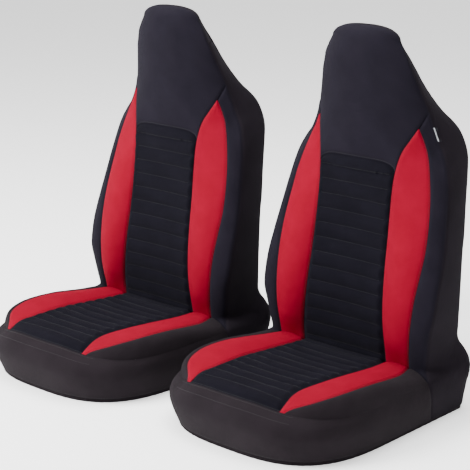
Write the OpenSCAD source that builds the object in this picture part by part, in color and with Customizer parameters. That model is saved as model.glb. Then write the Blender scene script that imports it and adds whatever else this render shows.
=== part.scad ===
// Seat cover set: two one-piece high-back bucket seat covers, shown filled out as on their seats.
// Every panel is a sewn piece of its own. Units are millimetres, +Z up, the sitter faces -Y.
// The origin is the middle of the set on the plane that the two hems stand on.
// One cover is drawn in its own seat frame: x = 0 at its middle, y = 0 at the crease between
// seat and back, z = 0 at the hem. It is drawn twice, and the two places are worked out below.

/* [Set] */
// Distance from the middle of one cover to the middle of the other
cover_spacing = 655; // [640:5:800]
// How far the passenger cover sits ahead of the driver cover
passenger_lead = 42; // [0:1:80]

/* [Back] */
// Height of the insert's top seam above the hem
insert_top = 655; // [640:1:670]
// Height of the pointed upper end of the red back bolsters
bolster_tip = 742; // [735:1:750]
// Height where the head panel's short shoulder seam meets the side seam
shoulder_seam = 783; // [775:1:795]
// Height of the head panel's straight sides, where the rounded top begins
head_sides_top = 962; // [955:1:965]
// How much the rounded top of the head rises above its straight sides
head_rise = 32; // [26:1:36]

/* [Seat] */
// Height of the crease between seat and back, where the fabric folds on reclining
crease_h = 136; // [134:1:138]
// Height of the skirt's upper seam at the sides
skirt_side_h = 116; // [108:1:118]
// How much higher the skirt's upper seam is at the middle of the front
skirt_front_rise = 22; // [16:1:24]
// Height of the upper edge of the skirt behind the crease
rear_skirt_h = 128; // [122:1:130]
// Height of the elastic hem casing
hem_h = 12; // [10:1:16]

/* [Fabric] */
// Thickness of a plain laminated panel
panel_t = 4; // [3.5:0.5:5]
// Thickness of a quilted insert
insert_t = 6; // [5:0.5:7]
// Gap left at each sewn seam between two panels
seam_gap = 0.8; // [0.6:0.1:1.2]

/* [Straps] */
// Width of the elastic straps under the cushion
strap_w = 25; // [20:1:32]
// Thickness of the elastic straps and of the webbing loops
strap_t = 1.6; // [1.4:0.1:2]
// Wire diameter of the hooks
hook_wire = 3; // [2.4:0.2:3.2]

/* [Label] */
// Length of the blank woven label along the seam
label_len = 34; // [30:1:50]
// How far the label stands out of the seam
label_w = 9; // [8:1:16]

/* [Hidden] */
// Seam lines of the back, each row [height, half-width, y].
INNER_SEAM = [[130, 137, 2], [180, 136, -4], [250, 130, -8], [320, 125, -3], [390, 121, 7],
    [470, 119, 19], [580, 118, 32], [630, 122, 38], [680, 132, 49], [715, 147, 66],
    [742, 159, 82]];
OUTER_SEAM = [[130, 214, -3], [185, 217, -12], [245, 222, -17], [315, 227, -11], [380, 232, 4],
    [440, 234, 22], [490, 231, 36], [540, 225, 49], [590, 217, 60], [645, 203, 73],
    [685, 189, 82], [715, 174, 85], [742, 161, 83]];
SIDE_SEAM = [[130, 256, 10], [180, 262, 4], [230, 270, -3], [270, 279, -4], [345, 281, 12],
    [420, 277, 38], [490, 268, 60], [586, 253, 85], [640, 240, 97], [675, 224, 106],
    [705, 204, 111], [745, 187, 109], [788, 174, 101], [834, 159, 87], [872, 147, 76],
    [920, 128, 67], [962, 105, 65], [994, 105, 60]];
REAR_SEAM = [[90, 254, 142], [130, 258, 146], [190, 260, 148], [235, 262, 146], [310, 266, 140],
    [430, 260, 153], [470, 256, 163], [550, 248, 177], [630, 238, 195], [670, 229, 205],
    [705, 215, 207], [735, 198, 202], [775, 170, 173], [825, 140, 147], [890, 111, 120],
    [958, 80, 95], [990, 80, 97]];
// Middle line of the back's front face, [height, y].
BACK_MIDDLE = [[130, 6], [180, 2], [250, -1], [320, 3], [390, 13], [470, 25], [580, 34],
    [680, 35], [740, 36], [788, 38], [834, 36], [872, 32], [920, 27], [955, 29], [980, 40],
    [994, 60]];
// Seam lines of the seat, each row [y, half-width, height].
SEAT_INNER = [[-440, 149, 129], [-402, 144, 147], [-371, 137, 152], [-335, 134, 154],
    [-255, 138, 152], [-190, 138, 147], [-64, 139, 137], [0, 136, 134]];
SEAT_OUTER = [[-438, 157, 129], [-420, 172, 140], [-384, 207, 152], [-341, 228, 158],
    [-287, 240, 161], [-209, 244, 158], [-140, 241, 150], [-68, 233, 141], [-5, 215, 138]];
// Middle line of the seat insert, [y, height].
SEAT_MIDDLE = [[-452, 138], [-425, 149], [-390, 152], [-335, 150], [-255, 147], [-190, 143],
    [-64, 133], [0, 131]];
// Skirt outline, [share of its height, half-width, front y, rear y].
SKIRT = [[0, 278, -468, 171], [0.35, 288, -484, 174], [0.62, 293, -490, 176],
    [0.85, 291, -478, 176], [1, 285, -452, 176]];
corner_mid_y = -164; // where the straight sides of the skirt turn into its rounded front
corner_power = 3; // squareness of the skirt's front corners
rear_corner_r = 32; // radius of the skirt's rear corners
wing_bulge = 6; // how far the back's black wings stand proud of their seams
strip_bulge = 4; // how far the side strips stand proud of their seams
seat_bolster_bulge = 7; // how far the seat's red bolsters stand proud of their seams
seat_wing_bulge = [3, 0, 5]; // how far the seat's wings stand proud of their seams
insert_drop = 28; // how much lower the insert's outer top corners are than its middle
insert_arch = 5; // squareness of the insert's arched top
front_crown = 2.6; // how squarely the head panel rolls over to its side seams
back_low = crease_h + 5; // lower edge of the back's front panels
rear_low = 95; // lower edge of the rear panel, tucked inside the rear skirt
seat_middle_y = -130; // middle of the seat, towards which the skirt's thickness goes
seat_rear = -4; // rear edge of the seat's top panels
skirt_low = hem_h + seam_gap; // lower edge of the skirt above its hem
top_drop = insert_t + seam_gap; // the skirt ends this much below the seat's top face
end_gap = 1.4; // gap between the skirt's two lengths at the crease
skirt_end = 4; // y where the skirt's two lengths are joined, at the crease
gusset_low = 900; // height where the side strips join the strip over the head
hem_t = 7; // thickness of the hem casing with its elastic
strap_z = 7; // height of the straps' middle plane
strap_ys = [-175, 120]; // places of the front and rear strap
hook_r = 5; // radius of the hooks' two bends
loop_reach = 24; // how far a webbing loop stands in from the hem
label_low = 711; // height of the label's lower end
label_t = 1; // thickness of the label
label_turn = 55; // degrees by which the label turns back from facing straight out
label_out = 2.2; // gap between the seam and the label's sewn edge
corner_edge = 6; // how late a panel's thickness turns into the mitre at its side seams

bolster_red = "#C4203C";
panel_black = "#2E2A36";
insert_black = "#1C1B21";
skirt_grey = "#3A343A";
side_black = "#241E26";
elastic_black = "#202022";
steel = "#B8BCC0";

RIGHT = 1; // the side on +X
LEFT = -1; // the side on -X

// ---- curves ----
function smooth(a, b, x) =
    let (t = min(max((x - a) / (b - a), 0), 1))
    t * t * (3 - 2 * t);
function row_of(S, h, i = 0) = (i >= len(S) - 2 || h < S[i + 1][0]) ? i : row_of(S, h, i + 1);
function slope(S, i, k) =
    let (lo = max(i - 1, 0), hi = min(i + 1, len(S) - 1))
    (S[hi][k] - S[lo][k]) / (S[hi][0] - S[lo][0]);
// Value k of a station list at h, on a smooth curve through its rows.
function along(S, at, k) =
    let (h = min(max(at, S[0][0]), S[len(S) - 1][0]), i = row_of(S, h),
        a = S[i], b = S[i + 1], d = b[0] - a[0], t = (h - a[0]) / d, t2 = t * t, t3 = t2 * t)
    (2 * t3 - 3 * t2 + 1) * a[k] + (t3 - 2 * t2 + t) * d * slope(S, i, k)
    + (3 * t2 - 2 * t3) * b[k] + (t3 - t2) * d * slope(S, i + 1, k);
function mix(a, b, t) = a + (b - a) * t;
function steps(n) = [for (i = [0:n]) i / n];
// Rises from 0 at one seam to 1 midway and back to 0 at the other.
function hump(u) = 4 * u * (1 - u);

// ---- the head's rounded top: both outlines are half superellipses ----
function arch(c, power) = pow(max(1 - pow(min(abs(c), 1), power), 0), 1 / 2);
function side_w(h) = h <= head_sides_top ? along(SIDE_SEAM, h, 1)
    : along(SIDE_SEAM, head_sides_top, 1)
        * pow(max(1 - pow((h - head_sides_top) / head_rise, 2), 0), 1 / front_crown);
function side_y(h) = along(SIDE_SEAM, h, 2);

// ---- front face of the back: y at a place x across and a height h ----
function bolster_lift(h) = 3 + 16 * smooth(130, 210, h) * (1 - smooth(400, 620, h));
function head_y(x, h) =
    mix(along(BACK_MIDDLE, h, 1), side_y(h),
        pow(min(abs(x) / max(side_w(h), 1), 1), front_crown));
function insert_y(x, h) =
    mix(along(BACK_MIDDLE, h, 1), along(INNER_SEAM, h, 2), pow(abs(x) / along(INNER_SEAM, h, 1), 2));
function face_y(x, h) = mix(insert_y(x, h), head_y(x, h), smooth(600, 680, h));

// ---- points of one cover; each gives [x, y, z] for shares u across and v along ----
function head_side_w(h) = h < bolster_tip ? along(INNER_SEAM, h, 1)
    : h < shoulder_seam ? mix(along(INNER_SEAM, bolster_tip, 1), side_w(shoulder_seam),
        (h - bolster_tip) / (shoulder_seam - bolster_tip))
    : along(SIDE_SEAM, h, 1);
insert_corner = insert_top - insert_drop; // height of the insert's outer top corners
function head_point(u, v) =
    let (s = 2 * u - 1, h0 = mix(insert_corner, head_sides_top, v),
        h = h0 + insert_drop * arch(s, insert_arch) * (1 - smooth(0, 0.5, v))
            + head_rise * arch(s, front_crown) * smooth(0.55, 1, v),
        x = s * head_side_w(h0))
    [x, face_y(x, h), h];
function back_insert_point(u, v) =
    let (s = 2 * u - 1, top = insert_corner + insert_drop * arch(s, insert_arch),
        h = mix(back_low, top, v), x = s * along(INNER_SEAM, mix(back_low, insert_corner, v), 1))
    [x, face_y(x, h), h];
function bolster_point(u, v) =
    let (h = mix(back_low, bolster_tip, v),
        wi = along(INNER_SEAM, h, 1), wo = along(OUTER_SEAM, h, 1), x = mix(wi, wo, u),
        low_y = mix(along(INNER_SEAM, h, 2), along(OUTER_SEAM, h, 2), u)
            - bolster_lift(h) * hump(u))
    [x, low_y, h];
function wing_point(u, v) =
    let (ho = mix(back_low, bolster_tip, v), hs = mix(back_low, shoulder_seam, v),
        a = [along(OUTER_SEAM, ho, 1), along(OUTER_SEAM, ho, 2), ho],
        b = [side_w(hs), side_y(hs), hs])
    mix(a, b, u) - [0, wing_bulge * hump(u), 0];
function side_strip_point(u, v) =
    let (ha = mix(back_low, gusset_low, v), hb = mix(rear_low, gusset_low, v),
        a = [side_w(ha), side_y(ha), ha],
        b = [along(REAR_SEAM, hb, 1), along(REAR_SEAM, hb, 2), hb])
    mix(a, b, u) + [strip_bulge * hump(u), 0, 0];
// Share v of the way over the head, from the right gusset seam to the left one.
gusset_rise = 0.16; // share of the strip over the head that is still straight side
head_steps = 8; // corners in each half of the rounded top
function over_head(v, w, y_side, y_top, h_side, rise, low_w, low_y) =
    let (q = v < 0.5 ? v : 1 - v, sign = v < 0.5 ? 1 : -1,
        t = min(q / gusset_rise, 1), f = 90 * max(q - gusset_rise, 0) / (0.5 - gusset_rise))
    q < gusset_rise
        ? [sign * mix(low_w, w, t), mix(low_y, y_side, t), mix(gusset_low, h_side, t)]
        : [sign * w * pow(cos(f), 2 / front_crown), mix(y_side, y_top, sin(f)),
            h_side + rise * sin(f)];
rear_sides_top = 958; // height of the rear panel's straight sides
rear_rise = 28; // how much the rear panel's rounded top rises above them
front_side_y = 65; // y of the head's front seam at its sides, then at its top
front_top_y = 60;
rear_side_y = 95; // y of the head's rear seam at its sides, then at its top
rear_top_y = 97;
function gusset_point(u, v) =
    let (a = over_head(v, along(SIDE_SEAM, head_sides_top, 1), front_side_y, front_top_y,
            head_sides_top, head_rise, side_w(gusset_low), side_y(gusset_low)),
        b = over_head(v, along(REAR_SEAM, rear_sides_top, 1), rear_side_y, rear_top_y,
            rear_sides_top, rear_rise, along(REAR_SEAM, gusset_low, 1),
            along(REAR_SEAM, gusset_low, 2)))
    mix(a, b, u);
function rear_point(u, v) =
    let (s = 2 * u - 1, h0 = mix(rear_low, rear_sides_top, v),
        h = h0 + rear_rise * arch(s, front_crown) * smooth(0.6, 1, v),
        crown = mix(4, 12, smooth(220, 500, h0)) * (1 - smooth(850, rear_sides_top, h0) * 0.9))
    [s * along(REAR_SEAM, h0, 1), along(REAR_SEAM, h0, 2) + crown * (1 - s * s), h];
// The skirt's outline at share v of its height; side 1 is the right half, -1 the left half.
function front_y(x) =
    let (w = along(SKIRT, 1, 1), reach = corner_mid_y - along(SKIRT, 1, 2))
    corner_mid_y - reach * pow(1 - pow(abs(x) / w, corner_power), 1 / corner_power);
function skirt_top(x) = skirt_side_h + skirt_front_rise * (1 - smooth(60, 270, abs(x)));
straight_share = 0.18; // share of the outline along each straight side
bolster_tip_x = 159.5; // from the middle to where the seat bolster's outer seam ends
function skirt_xy(u, v) =
    let (w = along(SKIRT, v, 1), reach = corner_mid_y - along(SKIRT, v, 2),
        q = min(u, 1 - u), sign = u < 0.5 ? 1 : -1,
        f = 90 * (q - straight_share) / (0.5 - straight_share))
    q < straight_share ? [sign * w, mix(skirt_end, corner_mid_y, q / straight_share)]
        : [sign * w * pow(cos(f), 2 / corner_power),
            corner_mid_y - reach * pow(sin(f), 2 / corner_power)];
function skirt_point(u, v) =
    let (p = skirt_xy(u, v), top = skirt_top(skirt_xy(u, 1)[0]) - top_drop)
    [p[0], p[1], mix(skirt_low, top, v)];
function rear_skirt_xy(u, v, inset = 0) =
    let (w = along(SKIRT, v, 1) - inset, y = along(SKIRT, v, 3) - inset, r = rear_corner_r - inset,
        q = min(u, 1 - u), sign = u < 0.5 ? 1 : -1,
        f = 90 * min(max((q - 0.2) / 0.15, 0), 1))
    q < 0.2 ? [sign * w, mix(skirt_end + end_gap, y - r, q / 0.2)]
        : q < 0.35 ? [sign * (w - r + r * cos(f)), y - r + r * sin(f)]
        : [sign * (w - r) * (0.5 - q) / 0.15, y];
function rear_skirt_point(u, v) =
    let (p = rear_skirt_xy(u, v))
    [p[0], p[1], mix(skirt_low, mix(skirt_side_h, rear_skirt_h, smooth(20, 90, p[1])), v)];
function seat_insert_point(u, v) =
    let (s = 2 * u - 1, yf = front_y(s * along(SEAT_INNER, -437, 1)), y = mix(seat_rear, yf, v),
        w = along(SEAT_INNER, y, 1), x = s * w,
        z = mix(along(SEAT_MIDDLE, y, 1), along(SEAT_INNER, y, 2), s * s))
    [x, y, mix(z, skirt_top(x), smooth(0.95, 1, v))];
// Eases a panel's front end, whose last point is end, down onto the skirt's top edge.
function landed(p, end, v) = p + [0, 0, (skirt_top(end[0]) - end[2]) * smooth(0.8, 1, v)];
function seat_bolster_at(u, v) =
    let (ya = mix(seat_rear, front_y(149), v), yb = mix(seat_rear - 5, front_y(bolster_tip_x), v),
        a = [along(SEAT_INNER, ya, 1), ya, along(SEAT_INNER, ya, 2)],
        b = [along(SEAT_OUTER, yb, 1), yb, along(SEAT_OUTER, yb, 2)])
    mix(a, b, u) + [0, 0, seat_bolster_bulge * hump(u) * (1 - smooth(0.5, 1, v))];
function seat_bolster_point(u, v) = landed(seat_bolster_at(u, v), seat_bolster_at(u, 1), v);
// The wing's short front edge runs along the skirt's rounded corner, from the bolster's tip.
wing_from = 0.02; // share of the skirt's outline at the wing's rear end
wing_to = 0.385; // share of the skirt's outline at the wing's front end
tip_share = straight_share + (0.5 - straight_share)
    * acos(pow(bolster_tip_x / along(SKIRT, 1, 1), corner_power / 2)) / 90;
function wing_rim(u) =
    let (rim = skirt_xy(mix(tip_share, wing_to, u), 1), end = skirt_xy(wing_to, 1),
        chord = mix([bolster_tip_x, front_y(bolster_tip_x)], end, u))
    [rim[0] - chord[0], rim[1] - chord[1], 0];
function seat_wing_at(u, v) =
    let (yb = mix(seat_rear - 5, front_y(bolster_tip_x), v),
        a = [along(SEAT_OUTER, yb, 1), yb, along(SEAT_OUTER, yb, 2)],
        p = skirt_xy(mix(wing_from, wing_to, v), 1), b = [p[0], p[1], skirt_top(p[0])],
        front = smooth(0.8, 1, v))
    mix(a, b, u) + front * wing_rim(u) + hump(u) * (1 - front) * seat_wing_bulge;
function seat_wing_point(u, v) = landed(seat_wing_at(u, v), seat_wing_at(u, 1), v);

// ---- a closed sheet of fabric from a grid of outer points and one of inner points ----
module sheet(outer, inner) {
    rows = len(outer);
    cols = len(outer[0]);
    n = rows * cols;
    pts = concat([for (r = outer) for (p = r) p], [for (r = inner) for (p = r) p]);
    function id(i, j) = i * cols + j;
    function two(a, b, c, d) = [[a, b, c], [a, c, d]];
    faces = concat(
        [for (i = [0:rows - 2]) for (j = [0:cols - 2])
            each two(id(i, j), id(i, j + 1), id(i + 1, j + 1), id(i + 1, j))],
        [for (i = [0:rows - 2]) for (j = [0:cols - 2])
            each two(n + id(i, j), n + id(i + 1, j), n + id(i + 1, j + 1), n + id(i, j + 1))],
        [for (j = [0:cols - 2]) each two(id(0, j + 1), id(0, j), n + id(0, j), n + id(0, j + 1))],
        [for (j = [0:cols - 2]) each two(id(rows - 1, j), id(rows - 1, j + 1),
            n + id(rows - 1, j + 1), n + id(rows - 1, j))],
        [for (i = [0:rows - 2]) each two(id(i, 0), id(i + 1, 0), n + id(i + 1, 0), n + id(i, 0))],
        [for (i = [0:rows - 2]) each two(id(i + 1, cols - 1), id(i, cols - 1),
            n + id(i, cols - 1), n + id(i + 1, cols - 1))]);
    polyhedron(points = pts, faces = faces);
}
// Shares along a seam-to-seam width, pulled in from both seams by half the seam gap.
function pulled_in(n, width) =
    let (g = seam_gap / 2 / width)
    [for (t = steps(n)) mix(g, 1 - g, t)];

// Shares across that meet the strip over the head at its own corners.
function head_shares(width) =
    let (g = seam_gap / 2 / width,
        inner = [for (i = [1:head_steps - 1])
            let (f = 90 * i / head_steps) pow(cos(f), 2 / front_crown) / 2])
    concat([g], [for (k = inner) 0.5 - k], [0.5],
        [for (i = [1:head_steps - 1]) 0.5 + inner[head_steps - 1 - i]], [1 - g]);

// Directions in which a panel's thickness goes: straight in, or mitred where it meets a corner.
function mitre(h, top) = let (q = smooth(top - 114, top, h)) [sqrt(1 - q * q), q];
function front_in(edge, x, h) =
    let (m = mitre(h, head_sides_top + head_rise))
    [-sign(x) * m[0] * edge, 1, -m[1] * edge];
function rear_in(edge, x, h) =
    let (m = mitre(h, rear_sides_top + rear_rise))
    [-sign(x) * m[0] * edge, -1, -m[1] * edge];

function grid(us, vs, f) = [for (v = vs) [for (u = us) f(u, v)]];
function moved(points, us, vs, inward, t) =
    [for (i = [0:len(vs) - 1]) [for (j = [0:len(us) - 1])
        points[i][j] + t * inward(us[j], vs[i], points[i][j])]];
module panel(us, vs, f, inward, t) {
    outer = grid(us, vs, f);
    sheet(outer, moved(outer, us, vs, inward, t));
}
// Right-hand panels are drawn on the +X side; the left-hand ones mirror them.
module on_side(side) {
    if (side > 0) children();
    else mirror([1, 0, 0]) children();
}

// ---- sub-parts of the back ----
function at_corner(u, v) = max(pow(abs(2 * u - 1), corner_edge), smooth(0.9, 1, v));
module head_panel() {
    color(panel_black)
    panel(head_shares(320), pulled_in(14, 280), function (u, v) head_point(u, v),
        function (u, v, p)
            front_in(p[2] > shoulder_seam - 30 ? at_corner(u, v) : 0, p[0], p[2]), panel_t);
}
module back_insert() {
    color(insert_black)
    panel(pulled_in(8, 260), pulled_in(16, 550), function (u, v) back_insert_point(u, v),
        function (u, v, p) [0, 1, 0], insert_t);
}
module back_bolster(side) {
    color(bolster_red)
    on_side(side)
    panel(pulled_in(5, 90), pulled_in(18, 600), function (u, v) bolster_point(u, v),
        function (u, v, p) [0, 1, 0], panel_t);
}
module back_wing(side) {
    color(panel_black)
    on_side(side)
    panel(pulled_in(4, 45), pulled_in(18, 640), function (u, v) wing_point(u, v),
        function (u, v, p) front_in(u, p[0], p[2]), panel_t);
}
module side_strip(side) {
    color(side_black)
    on_side(side)
    panel([for (t = pulled_in(4, 100)) 1 - t], pulled_in(22, 760),
        function (u, v) side_strip_point(u, v),
        function (u, v, p) mix(front_in(1, p[0], p[2]), rear_in(1, p[0], p[2]), u), panel_t);
}
// Shares along the strip over the head, with its corners at even angles on the rounded top.
gusset_shares = let (side = [0.001, 0.05, 0.11], top = [for (i = [0:head_steps])
        mix(gusset_rise, 0.5, i / head_steps)], half = concat(side, top))
    concat(half, [for (i = [len(half) - 2:-1:0]) 1 - half[i]]);
module head_gusset() {
    color(side_black)
    panel([for (t = pulled_in(3, 25)) 1 - t], gusset_shares, function (u, v) gusset_point(u, v),
        function (u, v, p) mix(front_in(1, p[0], p[2]), rear_in(1, p[0], p[2]), u), panel_t);
}
// Shares up the rear panel that meet the side strips at their own corners, then three more.
rear_shares = let (strip = (gusset_low - rear_low) / (rear_sides_top - rear_low))
    concat([for (t = pulled_in(22, 760)) t * strip], [for (k = [1:3]) mix(strip, 0.998, k / 3)]);
module rear_panel() {
    color(side_black)
    panel([for (t = head_shares(500)) 1 - t], rear_shares, function (u, v) rear_point(u, v),
        function (u, v, p) rear_in(at_corner(u, v), p[0], p[2]), panel_t);
}
module label() {
    h = label_low + label_len / 2;
    at = [side_w(h), side_y(h), h];
    lean = atan2(side_w(label_low) - side_w(label_low + label_len), label_len);
    color("silver")
    translate(at)
    rotate([0, -lean, 0])
    rotate([0, 0, label_turn])
    translate([label_out, -label_t - seam_gap / 2, -label_len / 2])
    cube([label_w, label_t, label_len]);
}

// ---- sub-parts of the seat ----
module seat_insert() {
    color(insert_black)
    panel([for (t = pulled_in(10, 270)) 1 - t], pulled_in(14, 450),
        function (u, v) seat_insert_point(u, v), function (u, v, p) [0, 0, -1], insert_t);
}
module seat_bolster(side) {
    color(bolster_red)
    on_side(side)
    panel([for (t = pulled_in(4, 80)) 1 - t], pulled_in(16, 430),
        function (u, v) seat_bolster_point(u, v), function (u, v, p) [0, 0, -1], panel_t);
}
module seat_wing(side) {
    color(skirt_grey)
    on_side(side)
    panel([for (t = pulled_in(4, 45)) 1 - t], pulled_in(16, 430),
        function (u, v) seat_wing_point(u, v),
        function (u, v, p) [-u * 0.7, 0.5 * u * smooth(0.5, 1, v), -1], panel_t);
}
function to_middle(p) =
    let (d = [-p[0], seat_middle_y - p[1]])
    [d[0], d[1], 0] / norm(d);
module skirt() {
    color(skirt_grey)
    panel([for (t = pulled_in(40, 1500)) 1 - t], pulled_in(5, 110),
        function (u, v) skirt_point(u, v), function (u, v, p) to_middle(p) - [0, 0, v * 0.6],
        panel_t);
}
module rear_skirt() {
    color(side_black)
    panel(pulled_in(40, 860), pulled_in(5, 110), function (u, v) rear_skirt_point(u, v),
        function (u, v, p) to_middle(p), panel_t);
}
function hem_outline(inset) = concat(
    [for (i = [0:36]) let (p = skirt_xy(i / 36, 0)) p
        + inset * [to_middle(p)[0], to_middle(p)[1]]],
    [for (i = [1:27]) rear_skirt_xy(1 - i / 28, 0, inset)]);
module hem() {
    color(skirt_grey)
    linear_extrude(hem_h)
    difference() {
        polygon(hem_outline(0));
        polygon(hem_outline(hem_t));
    }
}
hem_inside = along(SKIRT, 0, 1) - hem_t; // half-width between the hem's inner faces
slot_bar = 4; // material left between a slot and the end of its strap or loop
slot_l = 9; // length of a slot along the strap
slot_side = 4; // material left on either side of a slot
loop_gap = 0.3; // gap between a webbing loop's sewn end and the hem
hook_out = hem_inside - loop_reach + slot_bar / 2; // middle of a hook's outer bend
hook_in = hook_out - 2 * hook_r; // middle of a hook's inner bend
strap_end = hook_in + slot_bar / 2; // half the length of a strap
hook_tail = 4; // straight end of a hook beyond its bend
module slot_at(x) {
    translate([x, slot_side - strap_w / 2, -strap_t])
    cube([slot_l, strap_w - 2 * slot_side, 2 * strap_t]);
}
module loop_tab() {
    difference() {
        translate([hem_inside - loop_reach, -strap_w / 2, -strap_t / 2])
        cube([loop_reach - loop_gap, strap_w, strap_t]);
        slot_at(hem_inside - loop_reach + slot_bar);
    }
}
module strap_loops() {
    color(elastic_black)
    for (y = strap_ys, side = [1, -1])
        translate([0, y, strap_z])
        on_side(side)
        loop_tab();
}
module strap(place) {
    color(elastic_black)
    translate([0, strap_ys[place], strap_z])
    difference() {
        translate([-strap_end, -strap_w / 2, -strap_t / 2])
        cube([2 * strap_end, strap_w, strap_t]);
        slot_at(strap_end - slot_bar - slot_l);
        slot_at(-strap_end + slot_bar);
    }
}
module bend(x, tilt) {
    translate([x, 0, 0])
    rotate([tilt, 0, 0])
    rotate_extrude(angle = 180, $fn = 32)
    translate([hook_r, 0])
    circle(d = hook_wire, $fn = 24);
}
module hook() {
    bend(hook_out, 90);
    bend(hook_in, -90);
    translate([hook_out + hook_r, 0, -hook_tail])
    cylinder(d = hook_wire, h = hook_tail, $fn = 24);
    translate([hook_in - hook_r, 0, 0])
    cylinder(d = hook_wire, h = hook_tail, $fn = 24);
}
module strap_hooks() {
    color(steel)
    for (y = strap_ys, side = [1, -1])
        translate([0, y, strap_z])
        on_side(side)
        hook();
}

// ---- places of the two covers: the set's middle is the origin ----
front_reach = -min([for (row = SKIRT) row[2]]);
rear_reach = 219; // how far a rear panel's shoulder reaches behind the crease
driver_y = (front_reach + passenger_lead - rear_reach) / 2;
module driver() {
    translate([cover_spacing / 2, driver_y, 0]) children();
}
module passenger() {
    translate([-cover_spacing / 2, driver_y - passenger_lead, 0]) children();
}

driver() head_panel();  // driver_head_panel
driver() back_insert();  // driver_back_insert
driver() back_bolster(LEFT);  // driver_back_bolster_left
driver() back_bolster(RIGHT);  // driver_back_bolster_right
driver() back_wing(LEFT);  // driver_back_wing_left
driver() back_wing(RIGHT);  // driver_back_wing_right
driver() side_strip(LEFT);  // driver_side_strip_left
driver() side_strip(RIGHT);  // driver_side_strip_right
driver() head_gusset();  // driver_head_gusset
driver() rear_panel();  // driver_rear_panel
driver() seat_insert();  // driver_seat_insert
driver() seat_bolster(LEFT);  // driver_seat_bolster_left
driver() seat_bolster(RIGHT);  // driver_seat_bolster_right
driver() seat_wing(LEFT);  // driver_seat_wing_left
driver() seat_wing(RIGHT);  // driver_seat_wing_right
driver() skirt();  // driver_skirt
driver() rear_skirt();  // driver_rear_skirt
driver() hem();  // driver_hem
driver() strap(0);  // driver_strap_front
driver() strap(1);  // driver_strap_rear
driver() strap_loops();  // driver_strap_loops
driver() strap_hooks();  // driver_strap_hooks
driver() label();  // driver_label
passenger() head_panel();  // passenger_head_panel
passenger() back_insert();  // passenger_back_insert
passenger() back_bolster(LEFT);  // passenger_back_bolster_left
passenger() back_bolster(RIGHT);  // passenger_back_bolster_right
passenger() back_wing(LEFT);  // passenger_back_wing_left
passenger() back_wing(RIGHT);  // passenger_back_wing_right
passenger() side_strip(LEFT);  // passenger_side_strip_left
passenger() side_strip(RIGHT);  // passenger_side_strip_right
passenger() head_gusset();  // passenger_head_gusset
passenger() rear_panel();  // passenger_rear_panel
passenger() seat_insert();  // passenger_seat_insert
passenger() seat_bolster(LEFT);  // passenger_seat_bolster_left
passenger() seat_bolster(RIGHT);  // passenger_seat_bolster_right
passenger() seat_wing(LEFT);  // passenger_seat_wing_left
passenger() seat_wing(RIGHT);  // passenger_seat_wing_right
passenger() skirt();  // passenger_skirt
passenger() rear_skirt();  // passenger_rear_skirt
passenger() hem();  // passenger_hem
passenger() strap(0);  // passenger_strap_front
passenger() strap(1);  // passenger_strap_rear
passenger() strap_loops();  // passenger_strap_loops
passenger() strap_hooks();  // passenger_strap_hooks
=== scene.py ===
"""Looks of the seat cover set: two high-back bucket seat covers, sewn from stretch fabric panels.

Each cover is worked out in millimetres in its own seat frame (x = 0 at its middle, y = 0 at the
crease, z = 0 at the hem), the same frame and seam lines as the CAD source, and is then placed where
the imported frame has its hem.
"""
import math

import bpy
import mathutils
import numpy as np
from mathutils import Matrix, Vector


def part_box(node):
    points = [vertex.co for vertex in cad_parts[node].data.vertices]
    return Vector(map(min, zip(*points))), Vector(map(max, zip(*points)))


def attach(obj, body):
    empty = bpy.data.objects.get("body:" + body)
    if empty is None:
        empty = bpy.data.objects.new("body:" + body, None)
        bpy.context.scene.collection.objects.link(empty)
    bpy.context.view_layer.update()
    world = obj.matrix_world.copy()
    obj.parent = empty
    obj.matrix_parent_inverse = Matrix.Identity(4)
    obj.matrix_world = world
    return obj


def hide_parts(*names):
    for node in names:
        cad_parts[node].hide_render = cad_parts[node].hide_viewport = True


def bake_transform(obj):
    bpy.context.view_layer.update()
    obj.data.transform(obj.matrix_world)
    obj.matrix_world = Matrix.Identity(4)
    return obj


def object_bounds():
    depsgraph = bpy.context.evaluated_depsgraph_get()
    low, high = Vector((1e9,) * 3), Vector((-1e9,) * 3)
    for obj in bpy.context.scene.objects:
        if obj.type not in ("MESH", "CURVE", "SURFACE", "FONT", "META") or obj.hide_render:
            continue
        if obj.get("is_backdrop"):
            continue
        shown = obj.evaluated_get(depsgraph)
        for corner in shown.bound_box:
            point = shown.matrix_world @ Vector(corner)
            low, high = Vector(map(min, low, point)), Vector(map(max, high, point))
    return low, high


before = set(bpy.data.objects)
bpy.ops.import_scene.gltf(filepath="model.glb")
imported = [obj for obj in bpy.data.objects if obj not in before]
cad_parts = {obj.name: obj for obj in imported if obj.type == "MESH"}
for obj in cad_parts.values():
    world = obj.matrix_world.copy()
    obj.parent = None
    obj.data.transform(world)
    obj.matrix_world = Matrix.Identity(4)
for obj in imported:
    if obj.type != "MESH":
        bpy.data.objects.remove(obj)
CAD_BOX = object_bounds()


def plain(value):
    if hasattr(value, "__len__"):
        return [plain(x) for x in value]
    return float(value)


# ---------------- sizes, millimetres
# Heights of the crease and of the back's seams, and how far the head's top rises over its sides.
CREASE_H = 136
BACK_LOW = 122
INSERT_TOP = 655
INSERT_CORNER = INSERT_TOP - 28
BOLSTER_TIP = 742
SHOULDER_SEAM = 783
GUSSET_LOW = 900
GUSSET_RISE = 0.16
HEAD_SIDES_TOP = 962
HEAD_RISE = 32
REAR_SIDES_TOP = 958
REAR_RISE = 28
# The skirt and hem: heights, the rounded corners, and the share of the side that is straight.
SKIRT_SIDE_H = 116
SKIRT_FRONT_RISE = 22
HEM_H = 12
HEM_T = 7
CORNER_MID_Y = -164
CORNER_POWER = 3
STRAIGHT = 0.18
OUTLINE_START = 4
REAR_CORNER_R = 32
FRONT_CROWN = 2.6
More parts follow.
